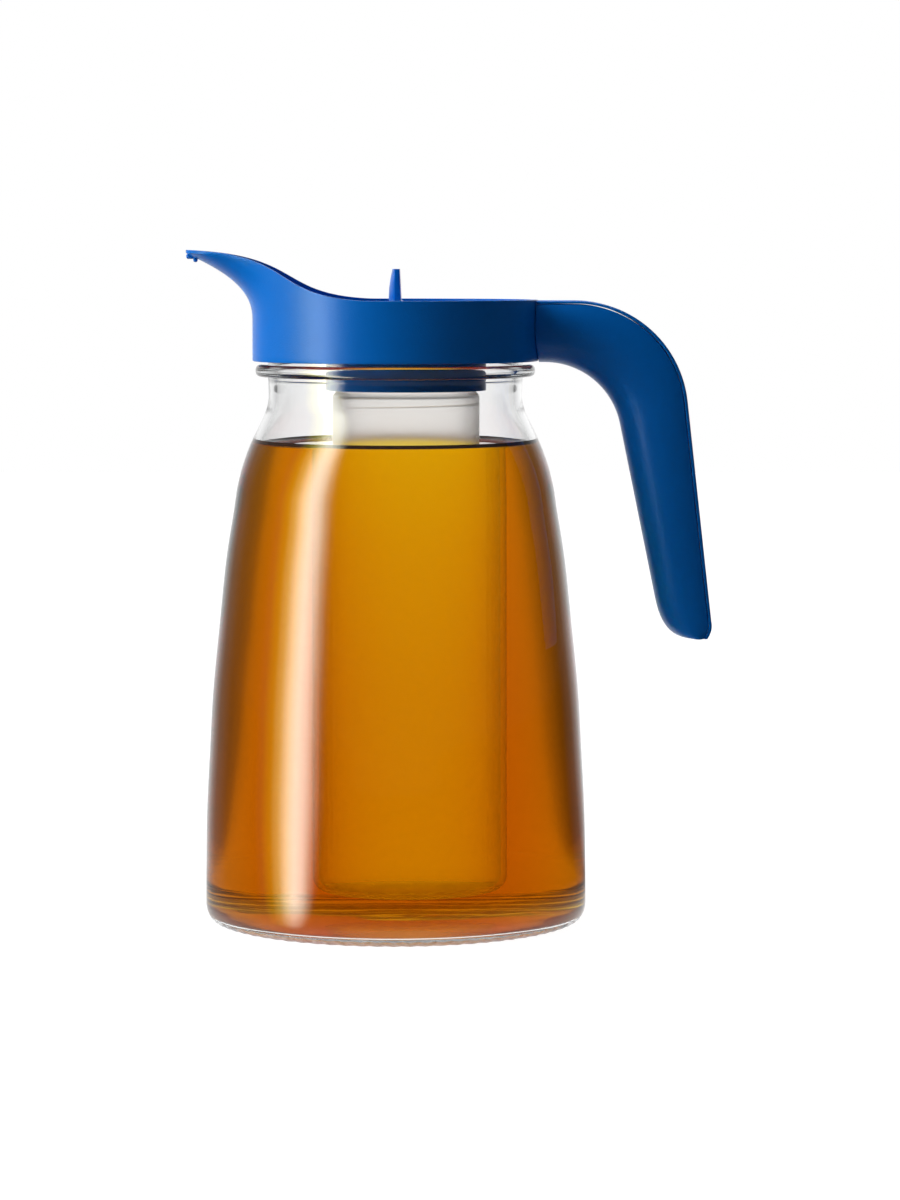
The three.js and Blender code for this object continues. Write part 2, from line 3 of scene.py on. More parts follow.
import bpy
import numpy as np
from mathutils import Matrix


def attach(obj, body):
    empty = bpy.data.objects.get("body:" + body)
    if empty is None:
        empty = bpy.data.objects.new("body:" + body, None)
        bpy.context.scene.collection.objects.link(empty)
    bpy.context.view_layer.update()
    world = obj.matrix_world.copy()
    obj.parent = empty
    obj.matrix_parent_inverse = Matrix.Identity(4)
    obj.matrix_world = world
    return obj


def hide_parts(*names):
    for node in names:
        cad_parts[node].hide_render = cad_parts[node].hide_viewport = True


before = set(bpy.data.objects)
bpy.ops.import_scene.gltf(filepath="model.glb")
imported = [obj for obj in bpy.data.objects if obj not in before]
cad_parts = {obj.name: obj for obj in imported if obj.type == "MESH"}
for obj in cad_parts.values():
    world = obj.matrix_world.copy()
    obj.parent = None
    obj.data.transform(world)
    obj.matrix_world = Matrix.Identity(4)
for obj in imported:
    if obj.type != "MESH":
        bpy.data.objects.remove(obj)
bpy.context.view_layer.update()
MM = 0.001


# The photographer's table and room: a white table, white paper behind, and one large soft lamp at
# the left whose near edge is sharp. The camera's side is dim, so blue surfaces there go navy.
def new_material(name):
    made = bpy.data.materials.new(name)
    made.use_nodes = True
    return made, made.node_tree.nodes, made.node_tree.links


def grey(nodes, level):
    made = nodes.new("ShaderNodeRGB")
    made.outputs[0].default_value = (level, level, level, 1)
    return made.outputs[0]


def ramped(nodes, links, value, start, end, low=0.0, high=1.0):
    """Low up to the start, high from the end on, and a straight line in between."""
    made = nodes.new("ShaderNodeMapRange")
    made.inputs["From Min"].default_value = start
    made.inputs["From Max"].default_value = end
    made.inputs["To Min"].default_value = low
    made.inputs["To Max"].default_value = high
    links.new(value, made.inputs["Value"])
    return made.outputs["Result"]


def worked_out(nodes, links, operation, *terms):
    """The result of a sum whose terms are numbers or sockets."""
    made = nodes.new("ShaderNodeMath")
    made.operation = operation
    for socket, term in zip(made.inputs, terms):
        if isinstance(term, (int, float)):
            socket.default_value = term
        else:
            links.new(term, socket)
    return made.outputs[0]


def picked(nodes, links, flag, otherwise, when):
    """One colour where the ray has the flag, and another one otherwise."""
    made = nodes.new("ShaderNodeMix")
    made.data_type = "RGBA"
    links.new(flag, made.inputs["Factor"])
    links.new(otherwise, made.inputs["A"])
    links.new(when, made.inputs["B"])
    return made.outputs["Result"]


def layered(nodes, links, share, under, over):
    """One surface with another one in its place, by a share that is a number or a socket."""
    made = nodes.new("ShaderNodeMixShader")
    if isinstance(share, float):
        made.inputs[0].default_value = share
    else:
        links.new(share, made.inputs[0])
    links.new(under.outputs[0], made.inputs[1])
    links.new(over.outputs[0], made.inputs[2])
    return made


def bearing_share(nodes, links, place, seen_from=(0, 0)):
    """Where on the way round a point or direction lies, from 0 to 1, with 0.5 behind the jug."""
    moved = nodes.new("ShaderNodeVectorMath")
    moved.operation = "SUBTRACT"
    moved.inputs[1].default_value = (*seen_from, 0)
    links.new(place, moved.inputs[0])
    parts = nodes.new("ShaderNodeSeparateXYZ")
    links.new(moved.outputs["Vector"], parts.inputs[0])
    turn = worked_out(nodes, links, "ARCTAN2", parts.outputs["X"], parts.outputs["Y"])
    return ramped(nodes, links, turn, -math.pi, math.pi)


def round_the_room(nodes, links, share, stops):
    """Brightness, or red, green and blue, by bearing: 0 is behind the jug, -90 left, 90 right."""
    ramp = nodes.new("ShaderNodeValToRGB")
    stripes = ramp.color_ramp.elements
    while len(stripes) < len(stops):
        stripes.new(0.5)
    for stripe, (bearing, _) in zip(stripes, stops):
        stripe.position = (bearing + 180) / 360
    for stripe, (_, value) in zip(stripes, stops):
        levels = value if isinstance(value, tuple) else (value, value, value)
        stripe.color = (*[level / room_strength for level in levels], 1)
    links.new(share, ramp.inputs["Fac"])
    return ramp.outputs["Color"]


room_strength = 16.0
lighting = [
    (-180, 0.02), (-140, 0.02), (-124, 3.4), (-110, 5.8), (-92, 4.6), (-72, 1.4), (-50, 2.0),
    (-25, 2.4), (0, 1.6), (25, 0.9), (50, 0.4), (75, 0.05), (90, 0.02), (180, 0.02),
]
mirrored = [
    (-180, 0.01), (-138, 0.01), (-134.5, 0.3), (-130, (3.8, 3.8, 3.0)),
    (-124, (12.0, 12.0, 10.0)), (-117.5, (16.0, 16.0, 13.0)), (-111.5, (13.0, 12.5, 7.4)),
    (-105, (6.0, 5.6, 1.5)), (-98, (2.2, 2.0, 0.06)), (-90, 0.1), (-84, 0.01), (-55, 0.06),
    (-38, 0.25), (-22, 0.8), (10, 1.0), (21, 1.0), (41, 0.15), (54, 0.01), (180, 0.01),
]
seen_through = [
    (-180, 0.5), (-140, 0.5), (-120, 0.7), (-90, 0.6), (-66, 0.3), (-50, 0.28), (-42, 0.26),
    (-37, 0.34), (-32, 0.52), (-29, 0.66), (-26, 0.88), (-23, 0.98), (-18, 1.03), (0, 1.05),
    (18, 1.02), (23, 1.02), (27.4, 0.85), (30.6, 0.54), (35, 0.42), (45, 0.36), (60, 0.3),
    (100, 0.3), (130, 0.5), (180, 0.5),
]
inside_low = [
    (-180, 0.01), (-50, 0.01), (-33, 0.2), (-20, 1.0), (20, 1.0), (33, 0.2), (50, 0.01),
    (180, 0.01),
]
inside_high = [(-180, 0.35), (-60, 0.3), (-20, 1.0), (20, 1.0), (60, 0.3), (180, 0.35)]
paper_level = 0.06
paper_above_level = 0.45


def level_met(nodes, links, path, share, beside, inside_stops, scattered, far=None, above=None):
    """What a ray meets: through glass, mirrored in it, mirrored off a bare face, or scattered."""
    through = round_the_room(nodes, links, share, seen_through)
    inside = round_the_room(nodes, links, share, inside_stops)
    outside = round_the_room(nodes, links, beside, mirrored)
    if far:
        close_by = grey(nodes, paper_level)
        through = picked(nodes, links, far, close_by, through)
        inside = picked(nodes, links, far, close_by, inside)
        scattered = picked(nodes, links, far, close_by, scattered)
    if above:
        outside = picked(nodes, links, above, outside, grey(nodes, paper_above_level))
    # A ray that was mirrored and never crossed glass met a bare face
    mirrorings = path.outputs["Glossy Depth"]
    crossings = path.outputs["Transmission Depth"]
    bare = worked_out(nodes, links, "MULTIPLY_ADD", crossings, -9.0, mirrorings)
    bare.node.use_clamp = True
    lamp_shown = worked_out(nodes, links, "MULTIPLY", bare, far if far else 1.0)
    level = picked(nodes, links, mirrorings, through, inside)
    level = picked(nodes, links, lamp_shown, level, outside)
    return picked(nodes, links, path.outputs["Diffuse Depth"], level, scattered)


bpy.ops.object.select_all(action="DESELECT")
bpy.ops.mesh.primitive_plane_add(size=6.0, location=(0, 0, 0))
table = bpy.context.object
table.name = "table_top"
table_paper, nodes, links = new_material("table_paper")
table_paper.cycles.emission_sampling = "NONE"
nodes.clear()
path = nodes.new("ShaderNodeLightPath")
place = nodes.new("ShaderNodeTexCoord").outputs["Object"]
# A ray that crossed the jug left it at its back, and one mirrored in it at its left shoulder
share = bearing_share(nodes, links, place, (0, 0.061))
beside = bearing_share(nodes, links, place, (-0.034, -0.0555))
distance = nodes.new("ShaderNodeVectorMath")
distance.operation = "LENGTH"
links.new(place, distance.inputs[0])
far = ramped(nodes, links, distance.outputs["Value"], 0.075, 0.16)
dark = grey(nodes, 0)
level = level_met(nodes, links, path, share, beside, inside_low, dark, far=far)
level = picked(nodes, links, path.outputs["Is Camera Ray"], level, grey(nodes, paper_level))
glow = nodes.new("ShaderNodeEmission")
glow.inputs["Strength"].default_value = room_strength
links.new(level, glow.inputs["Color"])
pale = grey(nodes, 0.2)
paper = picked(nodes, links, path.outputs["Diffuse Depth"], dark, pale)
paper = picked(nodes, links, path.outputs["Is Camera Ray"], paper, pale)
matte = nodes.new("ShaderNodeBsdfDiffuse")
links.new(paper, matte.inputs["Color"])
both = nodes.new("ShaderNodeAddShader")
links.new(matte.outputs[0], both.inputs[0])
links.new(glow.outputs[0], both.inputs[1])
links.new(both.outputs[0], nodes.new("ShaderNodeOutputMaterial").inputs["Surface"])
table.data.materials.append(table_paper)

room = bpy.data.worlds.new("room")
bpy.context.scene.world = room
room.use_nodes = True
room.cycles.sampling_method = "NONE"
nodes, links = room.node_tree.nodes, room.node_tree.links
nodes.clear()
path = nodes.new("ShaderNodeLightPath")
direction = nodes.new("ShaderNodeTexCoord").outputs["Generated"]
share = bearing_share(nodes, links, direction)
parts = nodes.new("ShaderNodeSeparateXYZ")
links.new(direction, parts.inputs[0])
# The room is dim overhead, with a soft lamp straight above
overhead = ramped(nodes, links, parts.outputs["Z"], 0.6, 0.8)
above = ramped(nodes, links, parts.outputs["Z"], 0.87, 0.95)
lit = round_the_room(nodes, links, share, lighting)
lit = picked(nodes, links, overhead, lit, grey(nodes, 0.004))
lit = picked(nodes, links, above, lit, grey(nodes, 0.06))
level = level_met(nodes, links, path, share, share, inside_high, lit, above=above)
shaded = nodes.new("ShaderNodeBackground")
shaded.inputs["Strength"].default_value = room_strength
links.new(level, shaded.inputs["Color"])
white = nodes.new("ShaderNodeBackground")
white.inputs["Color"].default_value = (1, 1, 1, 1)
shown = layered(nodes, links, path.outputs["Is Camera Ray"], shaded, white)
links.new(shown.outputs[0], nodes.new("ShaderNodeOutputWorld").inputs["Surface"])

camera_data = bpy.data.cameras.new("camera")
focal_px = 4125
picture_px = 1200
camera_data.lens = 36 * focal_px / picture_px
camera_data.clip_end = 20
camera = bpy.data.objects.new("camera", camera_data)
bpy.context.scene.collection.objects.link(camera)
camera.location = (0.0187, -1.415, 0.227)
camera.rotation_euler = (math.radians(90 - 4.71), 0, 0)
bpy.context.scene.camera = camera
bpy.context.scene.view_settings.view_transform = "Standard"
# Glass, drink and tube lie in one another, and light crosses many faces before it leaves them
light_paths = bpy.context.scene.cycles
light_paths.max_bounces = 24
light_paths.glossy_bounces = 16
light_paths.transmission_bounces = 24
light_paths.transparent_max_bounces = 32


# The glass jug: pressed base with a stippled ring to stand on, blown wall, bead under the lid and
# a finish with four lugs. Clear soda glass, fire polished, a little grey where it is thick.
def soften(corners, steps=6):
    """Corner points (radius, height, rounding) as a line with round corners."""
    line = []
    for i, (r, z, rounding) in enumerate(corners):
        here = np.array([r, z])
        if rounding == 0 or i in (0, len(corners) - 1):
            line.append((r, z))
            continue
        before = np.array(corners[i - 1][:2]) - here
        after = np.array(corners[i + 1][:2]) - here
        start = here + before / np.linalg.norm(before) * rounding
        end = here + after / np.linalg.norm(after) * rounding
        for k in range(steps + 1):
            t = k / steps
            line.append(tuple((1 - t) ** 2 * start + 2 * t * (1 - t) * here + t**2 * end))
    return line


def flowing(points, per_span):
    """A smooth line through the given points."""
    p = [np.array(q, float) for q in points]
    p = [2 * p[0] - p[1], *p, 2 * p[-1] - p[-2]]
    line = []
    for i in range(1, len(p) - 2):
        for k in range(per_span):
            t = k / per_span
            a = 2 * p[i]
            b = p[i + 1] - p[i - 1]
            c = 2 * p[i - 1] - 5 * p[i] + 4 * p[i + 1] - p[i + 2]
            d = -p[i - 1] + 3 * p[i] - 3 * p[i + 1] + p[i + 2]
            line.append(tuple((a + b * t + c * t**2 + d * t**3) / 2))
    line.append(tuple(p[-2]))
    return line


def turned(name, line, steps=128, x=0.0):
    """A half section drawn point by point and spun round the upright axis through x."""
    bpy.ops.object.select_all(action="DESELECT")
    bpy.ops.mesh.primitive_plane_add(size=MM, location=(0, 0, 0))
    made = bpy.context.object
    made.name = name
    bpy.ops.object.mode_set(mode="EDIT")
    bpy.ops.mesh.select_all(action="SELECT")
    bpy.ops.mesh.merge(type="CENTER")
    last = (0.0, 0.0)
    for i, (r, z) in enumerate(line):
        step = ((r - last[0]) * MM, 0, (z - last[1]) * MM)
        if i == 0:
            bpy.ops.transform.translate(value=(step[0] + x * MM, 0, step[2]))
        else:
            bpy.ops.mesh.extrude_region_move(TRANSFORM_OT_translate={"value": step})
        last = (r, z)
    bpy.ops.mesh.select_all(action="SELECT")
    bpy.ops.mesh.spin(steps=steps, angle=2 * math.pi, center=(x * MM, 0, 0), axis=(0, 0, 1))
    bpy.ops.mesh.select_all(action="SELECT")
    bpy.ops.mesh.remove_doubles(threshold=MM / 500)
    bpy.ops.mesh.normals_make_consistent(inside=False)
    bpy.ops.object.mode_set(mode="OBJECT")
    return made


def pick_alone(piece):
    bpy.ops.object.select_all(action="DESELECT")
    piece.select_set(True)
    bpy.context.view_layer.objects.active = piece


def smooth(piece, angle=35):
    pick_alone(piece)
    bpy.ops.object.shade_smooth_by_angle(angle=math.radians(angle))


def reach_and_height(vertex):
    """How far from the jug's axis and how high a vertex lies, in millimetres."""
    return math.hypot(vertex.co.x, vertex.co.y) / MM, vertex.co.z / MM


def spread_out(vertex, reach, rise):
    vertex.co.x *= 1 + rise / reach
    vertex.co.y *= 1 + rise / reach


def lug_reach(off):
    """How far a lug stands out at an angle, in degrees, from its middle."""
    return 2.3 * min(1, max(0, (20 - off) / 2))


def marked(piece, name, rule):
    """A number at every vertex for the material, ruled by distance from the axis and height."""
    marks = piece.data.attributes.new(name, "FLOAT", "POINT")
    for v, mark in zip(piece.data.vertices, marks.data):
        mark.value = rule(*reach_and_height(v))


def mark_read(nodes, name):
    made = nodes.new("ShaderNodeAttribute")
    made.attribute_name = name
    return made.outputs["Fac"]


def noise(nodes, links, place, scale, detail=2.0):
    made = nodes.new("ShaderNodeTexNoise")
    made.inputs["Scale"].default_value = scale
    made.inputs["Detail"].default_value = detail
    links.new(place, made.inputs["Vector"])
    return made.outputs["Fac"]


def bumped(nodes, links, shader, height, strength, distance):
    made = nodes.new("ShaderNodeBump")
    made.inputs["Strength"].default_value = strength
    made.inputs["Distance"].default_value = distance
    links.new(height, made.inputs["Height"])
    links.new(made.outputs["Normal"], shader.inputs["Normal"])


def coloured_volume(nodes, links, colour, density):
    made = nodes.new("ShaderNodeVolumeAbsorption")
    made.inputs["Color"].default_value = colour
    made.inputs["Density"].default_value = density
    links.new(made.outputs["Volume"], nodes["Material Output"].inputs["Volume"])


glass_wall = 2.8
neck_radius = 43.7
tea_level = 164.0
glass_bend, tea_bend = 1.5, 1.33
wall_line = [
    (65.57, 8.0), (65.2, 36.0), (64.1, 58.0), (62.8, 79.97), (60.59, 101.94), (58.26, 124.08),
    (55.66, 140.52), (53.84, 151.59), (50.42, 162.49), (45.3, 173.56), (43.85, 177.5),
    (43.4, 181.0), (43.55, 185.6),
]
outer_wall = flowing(wall_line, 6)
inner_wall = [(r - glass_wall, z) for r, z in outer_wall]
for z in (tea_level, tea_level + 0.1):
    inner_wall.append((np.interp(z, [p[1] for p in inner_wall], [p[0] for p in inner_wall]), z))
    inner_wall.sort(key=lambda p: p[1])
bead = soften(
    [(neck_radius, 187.3, 0), (47.9, 187.3, 2.1), (47.9, 191.5, 2.1), (neck_radius, 191.5, 0)], 8
)
ridge = [(43.6, 186.0), (43.68, 186.2), (43.72, 186.35), (43.7, 186.5), (43.66, 186.7)]
jug_line = (
    [(0, 0.4), (55.9, 0.4), (56.4, 0.2), (56.8, 0.0), (58.4, 0.0)]
    + soften([(58.5, 0, 0), (65.57, 0, 6.3), (65.57, 8.0, 0)], 44)[1:-1]
    + outer_wall
    + ridge
    + bead
    + [(neck_radius, z) for z in (197.4, 198.0, 198.5, 200.3, 200.8, 201.4)]
    + soften([(neck_radius, 202, 0), (neck_radius, 204, 1.1), (40.9, 204, 1.1), (40.9, 200, 0)])
    + inner_wall[::-1]
    + soften([(62.77, 8.0, 0), (62.77, 3.1, 3.6), (50, 3.1, 0)], 30)[1:]
    + [(0, 3.1)]
)
glass_jug = turned("glass_jug_blown", jug_line, 288)
for v in glass_jug.data.vertices:
    r, z = reach_and_height(v)
    turn = math.degrees(math.atan2(v.co.y, v.co.x))
    # Lugs on the finish
    if r > 43.6 and 198.2 < z < 200.6:
        spread_out(v, r, lug_reach(abs((turn + 45) % 90 - 45)))
    # Stipples round the foot
    if 59 < r < 65 and z < 2.2:
        wave = 0.5 + 0.5 * math.cos(math.radians(turn * 72))
        rise = 0.22 * wave * math.sin(math.pi * (r - 59) / 6)
        spread_out(v, r, rise)
        v.co.z -= min(rise * 0.8 * MM, v.co.z)


def wet_glass(r, z):
    outer = np.interp(z, [p[1] for p in outer_wall], [p[0] for p in outer_wall])
    return 1.0 if 2.9 < z < tea_level + 0.05 and r < outer - 1.5 else 0.0


marked(glass_jug, "wet", wet_glass)
marked(
    glass_jug, "stippled", lambda r, z: min(1, (3.0 - z) / 1.5) if 58.4 < r and z < 3.0 else 0.0
)
smooth(glass_jug, 50)
clear_glass, nodes, links = new_material("clear_glass")
shader = nodes["Principled BSDF"]
shader.inputs["Base Color"].default_value = (1, 1, 1, 1)
shader.inputs["Roughness"].default_value = 0.0
shader.inputs["IOR"].default_value = glass_bend
shader.inputs["Transmission Weight"].default_value = 1.0
place = nodes.new("ShaderNodeTexCoord").outputs["Object"]
# The pressed underside is more uneven than the blown wall
height = nodes.new("ShaderNodeSeparateXYZ")
links.new(place, height.inputs[0])
underside = ramped(nodes, links, height.outputs["Z"], 0.8 * MM, 3 * MM, 22.0, 1.0)
waves = noise(nodes, links, place, 34, 1.0)
uneven = worked_out(nodes, links, "MULTIPLY", waves, underside)
bumped(nodes, links, shader, uneven, 0.06, 0.001)
# Where the drink wets the glass, only the drink's own face bends the light
wet = worked_out(nodes, links, "GREATER_THAN", mark_read(nodes, "wet"), 0.5)
face = layered(nodes, links, wet, shader, nodes.new("ShaderNodeBsdfTransparent"))
# The stippled foot scatters the table's light as grey specks and lets part of it through
chalk = nodes.new("ShaderNodeBsdfDiffuse")
chalk.inputs["Color"].default_value = (0.8, 0.82, 0.85, 1)
lit_through = nodes.new("ShaderNodeBsdfTranslucent")
lit_through.inputs["Color"].default_value = (0.9, 0.92, 0.95, 1)
pitted = layered(nodes, links, 0.6, chalk, lit_through)
specks = noise(nodes, links, place, 420)
speckled = worked_out(nodes, links, "MULTIPLY", mark_read(nodes, "stippled"), specks)
footed = layered(nodes, links, speckled, face, pitted)
links.new(footed.outputs[0], nodes["Material Output"].inputs["Surface"])
coloured_volume(nodes, links, (0.84, 0.89, 0.89, 1), 14.0)
glass_jug.data.materials.append(clear_glass)
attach(glass_jug, "jug")
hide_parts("glass_jug")


# The cooling tube: blown frosted plastic, closed at its foot, with a narrower neck inside the
# socket and the end of a thread showing under it.
tube_x = 3.6
tube_foot = 11
tube_radius = 25.2
tube_line = soften(
    [
        (0, tube_foot, 0), (tube_radius, tube_foot, 6), (tube_radius, 181.0, 0.6),
        (23.7, 182.4, 0.4), (23.7, 203.0, 0.4), (22.1, 203.0, 0.4), (22.1, 181.6, 0.6),
        (23.6, 180.2, 0.4), (23.6, 12.6, 4.6), (0, 12.6, 0),
    ],
    8,
)
cooling_tube = turned("cooling_tube_blown", tube_line, 128, tube_x)
thread_turns = 1.15
thread_steps = 90
thread_sides = 8
bpy.ops.object.select_all(action="DESELECT")
bpy.ops.mesh.primitive_grid_add(x_subdivisions=thread_steps, y_subdivisions=thread_sides, size=1)
thread = bpy.context.object
for i, v in enumerate(thread.data.vertices):
    side, step = divmod(i, thread_steps + 1)
    along = step / thread_steps
    around = 2 * math.pi * side / thread_sides
    swell = 0.3 * math.sin(math.pi * along) ** 0.4
    turn = math.radians(-150) + 2 * math.pi * thread_turns * along
    r = 24.9 + swell * math.cos(around)
    z = 177.0 + 3.6 * along + swell * math.sin(around)
    v.co = ((tube_x + r * math.cos(turn)) * MM, r * math.sin(turn) * MM, z * MM)
bpy.ops.object.mode_set(mode="EDIT")
bpy.ops.mesh.select_all(action="SELECT")
bpy.ops.mesh.remove_doubles(threshold=MM / 500)
bpy.ops.mesh.normals_make_consistent(inside=False)
bpy.ops.object.mode_set(mode="OBJECT")
cooling_tube.select_set(True)
bpy.context.view_layer.objects.active = cooling_tube
bpy.ops.object.join()
smooth(cooling_tube)
frosted, nodes, links = new_material("frosted_plastic")
skin = nodes["Principled BSDF"]
skin.inputs["Base Color"].default_value = (1.0, 0.99, 0.975, 1)
skin.inputs["Roughness"].default_value = 0.36
skin.inputs["IOR"].default_value = 1.18
skin.inputs["Transmission Weight"].default_value = 1.0
milk = nodes.new("ShaderNodeBsdfTranslucent")
milk.inputs["Color"].default_value = (0.95, 0.93, 0.9, 1)
frost = layered(nodes, links, 0.05, skin, milk)
clear = nodes.new("ShaderNodeBsdfTransparent")
clear.inputs["Color"].default_value = (0.99, 0.985, 0.975, 1)
place = nodes.new("ShaderNodeTexCoord").outputs["Object"]
height = nodes.new("ShaderNodeSeparateXYZ")
links.new(place, height.inputs[0])
# The frost turns nearly clear where the drink wets it, least so where the wall is seen edge-on
low_end, high_end = (tea_level - 0.8) * MM, (tea_level + 0.2) * MM
wet = ramped(nodes, links, height.outputs["Z"], low_end, high_end, 0.985, 0.3)
standing = ramped(nodes, links, height.outputs["Z"], 11.5 * MM, 13.5 * MM, -0.9, -0.35)
edge_on = nodes.new("ShaderNodeLayerWeight").outputs["Facing"]
squared = worked_out(nodes, links, "POWER", edge_on, 2.0)
clearness = worked_out(nodes, links, "MULTIPLY_ADD", squared, standing, wet)
wall = layered(nodes, links, clearness, frost, clear)
links.new(wall.outputs[0], nodes["Material Output"].inputs["Surface"])
bumped(nodes, links, skin, noise(nodes, links, place, 900), 0.1, 0.0002)
cooling_tube.data.materials.append(frosted)
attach(cooling_tube, "tube")
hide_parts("cooling_tube")


# The drink: tea up to just under the neck, with a rim where it climbs the glass. It reaches a
# hair into the glass and into the tube's wall, so that no air shows between them.
bite = 0.12
tea_wall = [(r + bite, z) for r, z in inner_wall if z < tea_level + 1.2]
climb = tea_wall[-1][0]
tea_line = (
    [(0, 2.98)]
    + soften([(50, 2.98, 0), (62.89, 2.98, 3.6), (62.89, 8.0, 0)], 30)[:-1]
    + tea_wall
    + [(climb - 0.4, tea_level + 1.3), (climb - 1.0, tea_level + 0.5)]
    + [(climb - 2.0, tea_level + 0.08), (climb - 3.5, tea_level), (0, tea_level)]
)
tea = turned("tea", tea_line, 192)
pocket_line = soften([(0, 11.15, 0), (25.05, 11.15, 6), (25.05, 190, 0), (0, 190, 0)], 8)
pocket = turned("pocket", pocket_line, 128, tube_x)
pick_alone(tea)
bpy.ops.object.modifier_add(type="BOOLEAN")
tea.modifiers[-1].operation = "DIFFERENCE"
tea.modifiers[-1].object = pocket
bpy.ops.object.modifier_apply(modifier=tea.modifiers[-1].name)
bpy.data.objects.remove(pocket)
smooth(tea, 40)
amber, nodes, links = new_material("amber_tea")
shader = nodes["Principled BSDF"]
shader.inputs["Base Color"].default_value = (1, 1, 1, 1)
shader.inputs["Roughness"].default_value = 0.0
shader.inputs["Transmission Weight"].default_value = 1.0
place = nodes.new("ShaderNodeTexCoord").outputs["Object"]
height = nodes.new("ShaderNodeSeparateXYZ")
links.new(place, height.inputs[0])
# Against the glass the drink bends light from the glass's index down to its own, and at its
# level up from that of air
low_end, high_end = (tea_level - 0.3) * MM, (tea_level - 0.2) * MM
bend = ramped(
    nodes, links, height.outputs["Z"], low_end, high_end, tea_bend / glass_bend, tea_bend
)
links.new(bend, shader.inputs["IOR"])
# Where the drink lies against the tube its face bends no light
from_axis = nodes.new("ShaderNodeVectorMath")
from_axis.operation = "MULTIPLY_ADD"
from_axis.inputs[1].default_value = (1, 1, 0)
from_axis.inputs[2].default_value = (-tube_x * MM, 0, 0)
links.new(place, from_axis.inputs[0])
reach = nodes.new("ShaderNodeVectorMath")
reach.operation = "LENGTH"
links.new(from_axis.outputs["Vector"], reach.inputs[0])
near = worked_out(nodes, links, "LESS_THAN", reach.outputs["Value"], 25.3 * MM)
over = worked_out(nodes, links, "GREATER_THAN", height.outputs["Z"], 10 * MM)
against = worked_out(nodes, links, "MULTIPLY", near, over)
face = layered(nodes, links, against, shader, nodes.new("ShaderNodeBsdfTransparent"))
# The rim that climbs the glass reads as a dark line: painted shade, an opaque dark brown skin
# standing in for the darkness that the bent light makes there
rim = worked_out(nodes, links, "GREATER_THAN", height.outputs["Z"], (tea_level + 0.1) * MM)
rim_painted_shade = nodes.new("ShaderNodeBsdfPrincipled")
rim_painted_shade.inputs["Base Color"].default_value = (0.07, 0.02, 0.002, 1)
rim_painted_shade.inputs["Roughness"].default_value = 0.2
rimmed = layered(nodes, links, rim, face, rim_painted_shade)
links.new(rimmed.outputs[0], nodes["Material Output"].inputs["Surface"])
coloured_volume(nodes, links, (0.959, 0.86, 0.0, 1), 150.0)
tea.data.materials.append(amber)
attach(tea, "jug")


# Small hidden pieces carried over from the solids, with their edges broken: the pin, the seals,
# the gasket and the lid's deck with its opening, ears and tube socket.
def rounded_off(piece, width, segments, from_angle=30):
    """Round the active piece's edges that are sharper than an angle in degrees."""
    bpy.ops.object.modifier_add(type="BEVEL")
    bevel = piece.modifiers[-1]
    bevel.width = width * MM
    bevel.segments = segments
    bevel.limit_method = "ANGLE"
    bevel.angle_limit = math.radians(from_angle)
    bpy.ops.object.modifier_apply(modifier=bevel.name)


def carried(node, name, edge):
    """A copy of a CAD solid, merged, its flat faces joined and its sharp edges rounded."""
    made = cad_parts[node].copy()
    made.data = made.data.copy()
    made.parent = None
    made.name = name
    for key in list(made.keys()):
        del made[key]
    bpy.context.scene.collection.objects.link(made)
    pick_alone(made)
    bpy.ops.object.mode_set(mode="EDIT")
    bpy.ops.mesh.select_all(action="SELECT")
    bpy.ops.mesh.remove_doubles(threshold=MM / 500)
    bpy.ops.mesh.dissolve_limited(angle_limit=math.radians(1))
    bpy.ops.object.mode_set(mode="OBJECT")
    made.data.materials.clear()
    rounded_off(made, edge, 2, 40)
    smooth(made)
    return made


def moulded(name, colour, roughness, grain_scale, grain_depth):
    """A plastic, rubber or metal with a fine grain and a faint drift in its colour."""
    made, nodes, links = new_material(name)
    shader = nodes["Principled BSDF"]
    shader.inputs["Roughness"].default_value = roughness
    place = nodes.new("ShaderNodeTexCoord").outputs["Object"]
    shade = nodes.new("ShaderNodeMix")
    shade.data_type = "RGBA"
    shade.inputs["A"].default_value = (*[c * 0.94 for c in colour], 1)
    shade.inputs["B"].default_value = (*[min(1, c * 1.06) for c in colour], 1)
    links.new(noise(nodes, links, place, 35, 3), shade.inputs["Factor"])
    links.new(shade.outputs["Result"], shader.inputs["Base Color"])
    bumped(nodes, links, shader, noise(nodes, links, place, grain_scale), grain_depth, 0.0002)
    return made, shader


silicone, _ = moulded("silicone", (0.78, 0.8, 0.8), 0.55, 1500, 0.1)
for node, name, body, edge in (
    ("lid_gasket", "lid_gasket_ring", "gasket", 0.3),
    ("tube_seal", "tube_seal_ring", "lid", 0.4),
    ("flap_seal", "flap_seal_pad", "flap", 0.25),
):
    seal = carried(node, name, edge)
    seal.data.materials.append(silicone)
    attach(seal, body)
    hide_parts(node)

steel, shader = moulded("pin_steel", (0.6, 0.61, 0.62), 0.3, 2500, 0.05)
shader.inputs["Metallic"].default_value = 1.0
hinge_pin = carried("flap_hinge_pin", "flap_hinge_rod", 0.2)
hinge_pin.data.materials.append(steel)
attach(hinge_pin, "lid")
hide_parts("flap_hinge_pin")

blue_plastic, shader = moulded("blue_plastic", (0.0, 0.178, 0.7), 0.3, 1900, 0.35)
shader.inputs["Specular IOR Level"].default_value = 0.24
lid_deck = carried("lid_deck", "lid_deck_moulding", 0.25)
lid_deck.data.materials.append(blue_plastic)
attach(lid_deck, "lid")
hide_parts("lid_deck")


# The lid's collar: one moulding in royal blue polypropylene with a spark-eroded satin skin. Its
# band covers the finish, and its wall flares into the beak of the spout under a rounded edge.
def band_radius(radius, turn, z):
    """The wall's radius at an angle and a height, flared towards the spout."""
    share = min(1, max(0, (z - 207.0) / 22.2)) ** 2.3
    spread = math.radians(21 + (17 - 21) * share)
    away = abs(turn - math.pi)
    return radius + 22.7 * share * math.exp(-((away / spread) ** 2))


